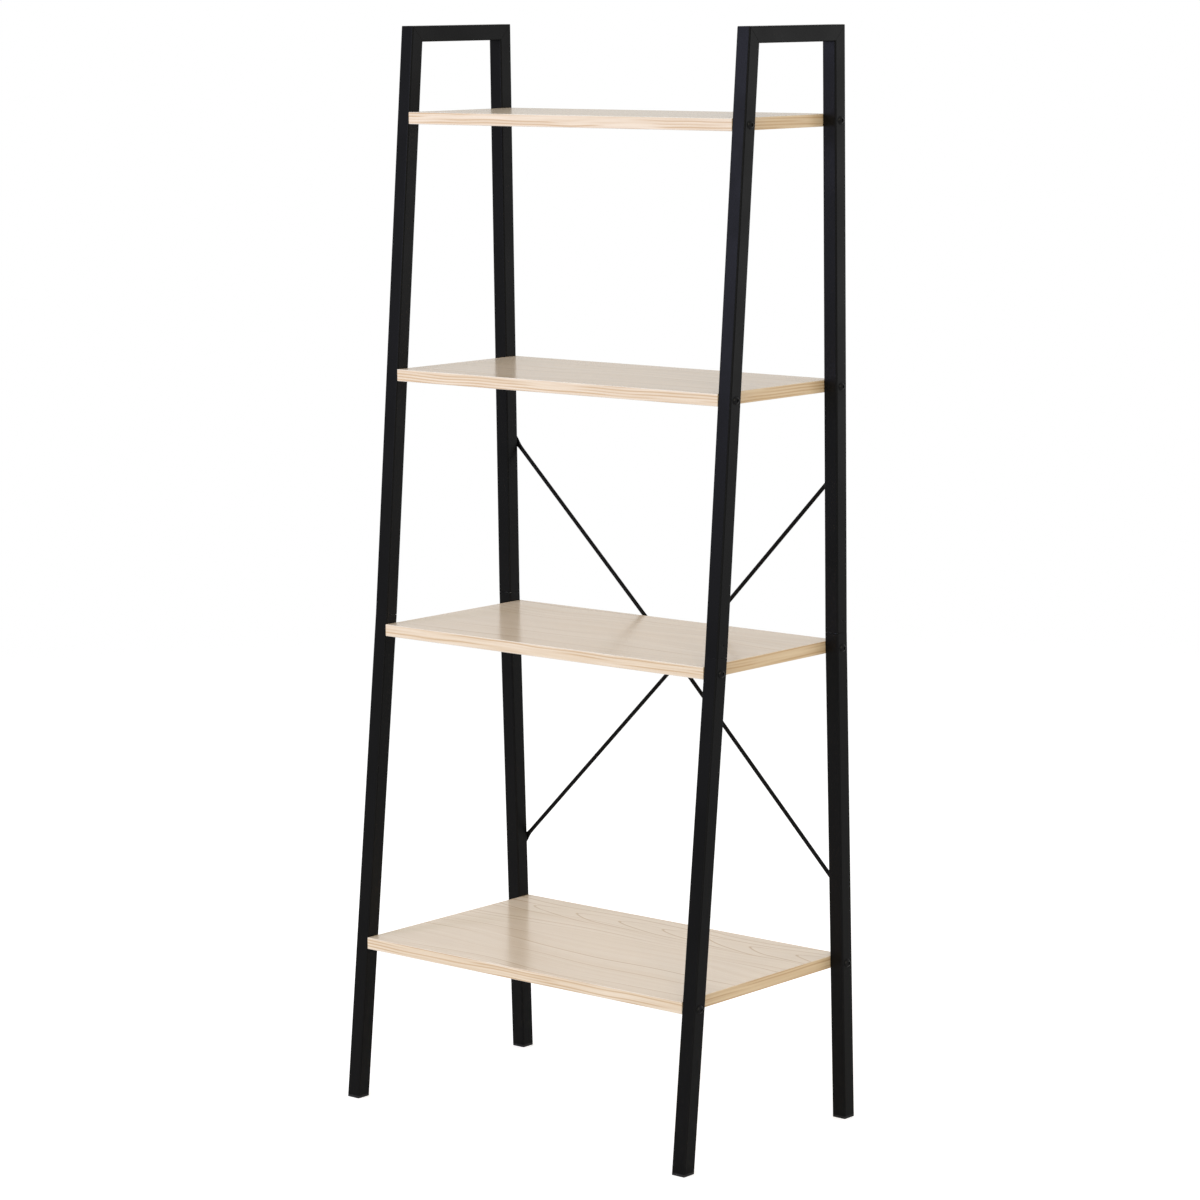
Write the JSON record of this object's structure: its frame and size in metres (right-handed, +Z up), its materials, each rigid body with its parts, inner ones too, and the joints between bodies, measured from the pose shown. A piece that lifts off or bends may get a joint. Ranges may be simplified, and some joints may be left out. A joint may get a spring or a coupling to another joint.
{
  "type": "ladder shelf",
  "caption": "Free-standing ladder shelf: leaning square-tube side frames, boards that get deeper towards the floor, and a crossed rod brace behind.",
  "frame": {"origin": "on the floor, in the middle of the footprint", "axes": "+X to the right as seen from the front, +Y towards the back, +Z up"},
  "size_m": [0.5658, 0.338, 1.36],
  "materials": {
    "frame_steel": "satin black powder coat with a fine grain",
    "screw_black": "black oxide, satin",
    "zinc_steel": "bright zinc plate",
    "foot_plastic": "matt moulded black",
    "oak_board": "pale oak decor, semi-gloss",
    "oak_band": "pale oak edge band, satin"
  },
  "bodies": {
    "root": {"left_front_upper_leg": "frame_steel", "left_front_lower_leg": "frame_steel", "left_front_joint_sleeve": "zinc_steel", "left_front_foot": "foot_plastic", "left_rear_upper_leg": "frame_steel", "left_rear_lower_leg": "frame_steel", "left_rear_joint_sleeve": "zinc_steel", "left_rear_foot": "foot_plastic", "right_front_upper_leg": "frame_steel", "right_front_lower_leg": "frame_steel", "right_front_joint_sleeve": "zinc_steel", "right_front_foot": "foot_plastic", "right_rear_upper_leg": "frame_steel", "right_rear_lower_leg": "frame_steel", "right_rear_joint_sleeve": "zinc_steel", "right_rear_foot": "foot_plastic", "left_top_bar": "frame_steel", "right_top_bar": "frame_steel", "bottom_shelf_board": "oak_board", "bottom_shelf_front_band": "oak_band", "bottom_shelf_rear_band": "oak_band", "bottom_shelf_left_band": "oak_band", "bottom_shelf_right_band": "oak_band", "bottom_shelf_screws": "screw_black", "bottom_shelf_inserts": "zinc_steel", "lower_shelf_board": "oak_board", "lower_shelf_front_band": "oak_band", "lower_shelf_rear_band": "oak_band", "lower_shelf_left_band": "oak_band", "lower_shelf_right_band": "oak_band", "lower_shelf_screws": "screw_black", "lower_shelf_inserts": "zinc_steel", "upper_shelf_board": "oak_board", "upper_shelf_front_band": "oak_band", "upper_shelf_rear_band": "oak_band", "upper_shelf_left_band": "oak_band", "upper_shelf_right_band": "oak_band", "upper_shelf_screws": "screw_black", "upper_shelf_inserts": "zinc_steel", "top_shelf_board": "oak_board", "top_shelf_front_band": "oak_band", "top_shelf_rear_band": "oak_band", "top_shelf_left_band": "oak_band", "top_shelf_right_band": "oak_band", "top_shelf_screws": "screw_black", "top_shelf_inserts": "zinc_steel", "brace_rod_inner": "frame_steel", "brace_rod_outer": "frame_steel", "brace_rivet": "screw_black", "brace_screws": "screw_black", "brace_nuts": "zinc_steel"}
  },
  "joints": []
}
